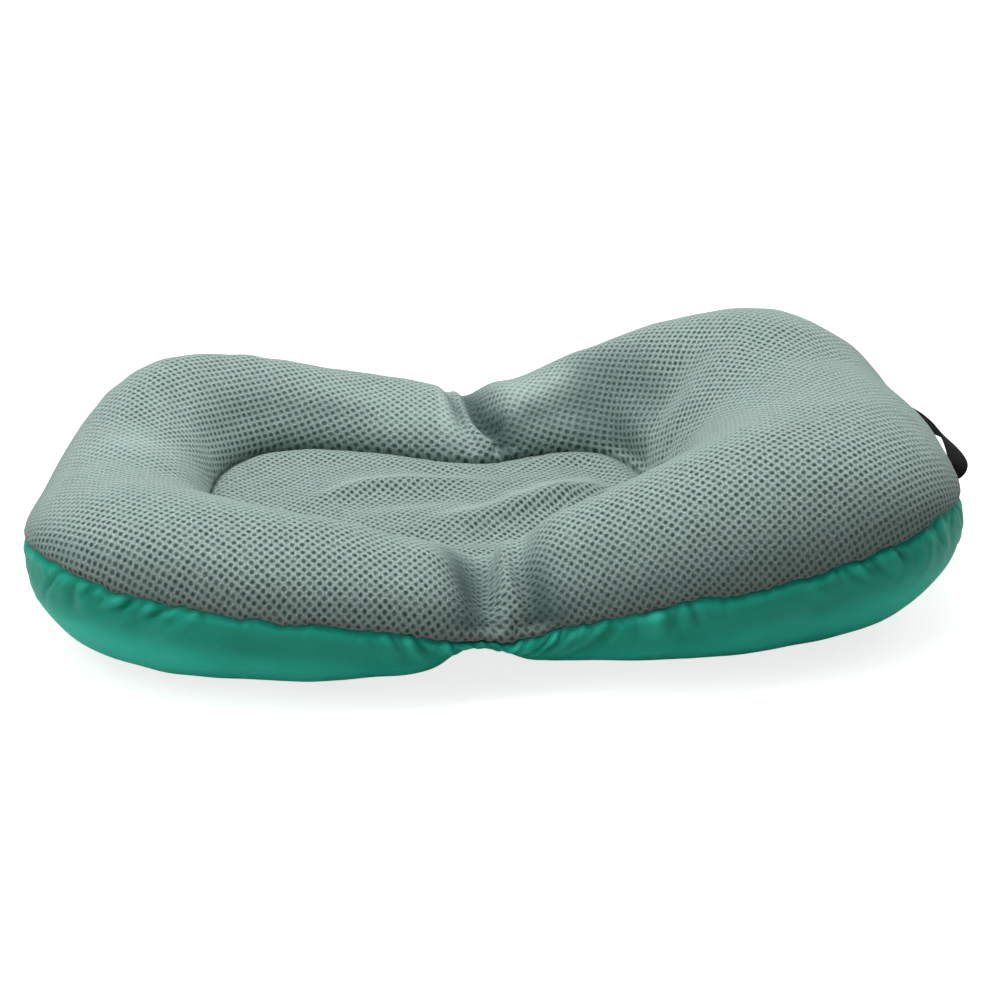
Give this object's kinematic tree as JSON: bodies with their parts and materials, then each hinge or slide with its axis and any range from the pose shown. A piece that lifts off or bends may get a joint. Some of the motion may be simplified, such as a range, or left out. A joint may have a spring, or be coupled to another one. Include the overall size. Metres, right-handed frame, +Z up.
{
  "type": "contoured mesh cushion",
  "caption": "Contoured rest cushion: spacer-mesh ring with a raised head lobe, an oval well and a pinched waist, satin lower shell and a webbing hanging loop.",
  "frame": {"origin": "on the floor plane under the middle of the cushion", "axes": "+X along the length towards the taller head end with the webbing loop, -Y towards the front long side, +Z up from the rest face"},
  "size_m": [0.5672, 0.3317, 0.1329],
  "materials": {
    "spacer_mesh": "sage grey-green warp-knitted spacer mesh with small round openings in a staggered lattice, matte",
    "teal_taffeta": "teal-green polyester taffeta, fine plain weave, soft satin sheen, puckered at the seam",
    "binding": "bound seam allowance, grey knitted tape",
    "lining": "thin off-white non-woven lining",
    "beads": "mass of expanded polystyrene beads",
    "wadding": "white polyester wadding",
    "webbing": "black woven polypropylene tape, narrow"
  },
  "bodies": {
    "cushion": {"mesh_ring_cover": "spacer_mesh", "well_panel": "spacer_mesh", "base_shell": "teal_taffeta", "perimeter_seam_binding": "binding", "well_seam_binding": "binding", "chamber_wall": "lining", "front_waist_baffle": "lining", "back_waist_baffle": "lining", "head_liner": "lining", "foot_liner": "lining", "head_fill": "beads", "foot_fill": "beads", "well_pad": "wadding"},
    "loop": {"hang_loop": "webbing"}
  },
  "joints": [
    {"name": "loop_swing", "type": "hinge", "parent": "cushion", "child": "loop", "pos_m": [0.2732, -0.009, 0.0621], "axis": [-0.1337, 0.9901, 0.0425], "range_deg": [-12, 60]}
  ]
}
